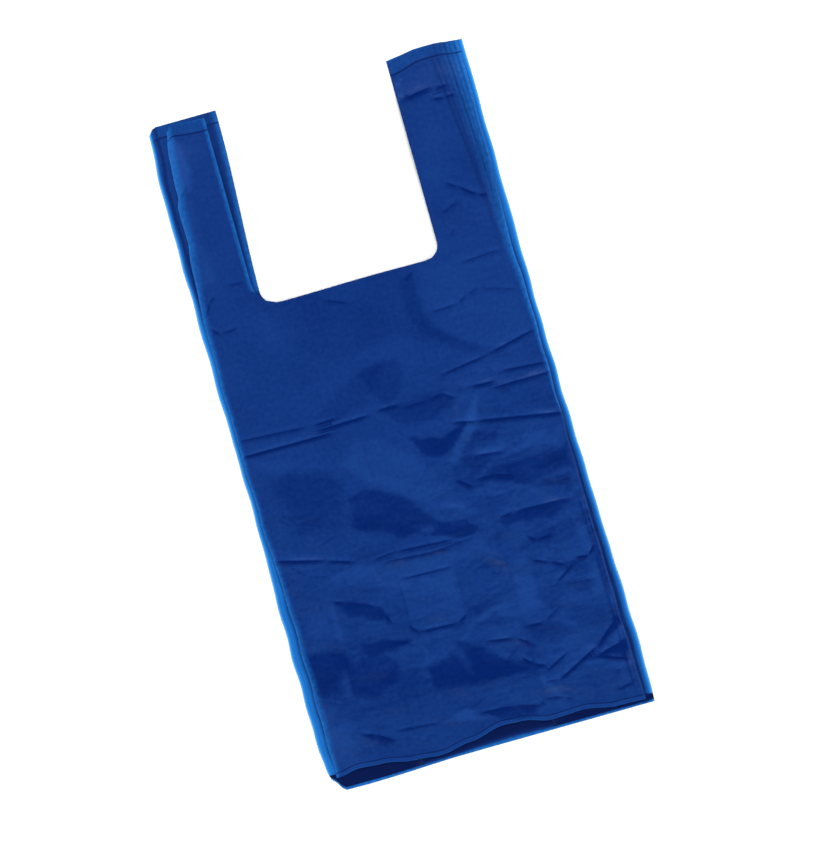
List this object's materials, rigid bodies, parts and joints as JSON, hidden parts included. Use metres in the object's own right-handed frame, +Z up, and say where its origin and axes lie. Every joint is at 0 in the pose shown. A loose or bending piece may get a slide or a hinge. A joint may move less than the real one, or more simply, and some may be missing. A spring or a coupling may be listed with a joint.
{
  "type": "plastic vest carrier bag",
  "caption": "Flat, empty vest-style carrier bag of thin blue film with tucked-in side pleats, a welded base and two handle loops beside an open mouth.",
  "frame": {"origin": "under the middle of the flat bag, on the surface that it lies on", "axes": "+X across the bag, +Y from the welded base to the handle tops, +Z up through the plies, from the back panel to the front panel"},
  "size_m": [0.298, 0.618, 0.0038],
  "materials": {
    "blue_film": "satin blown film, finely creased"
  },
  "bodies": {
    "root": {"carrier_bag": "blue_film"}
  },
  "joints": []
}
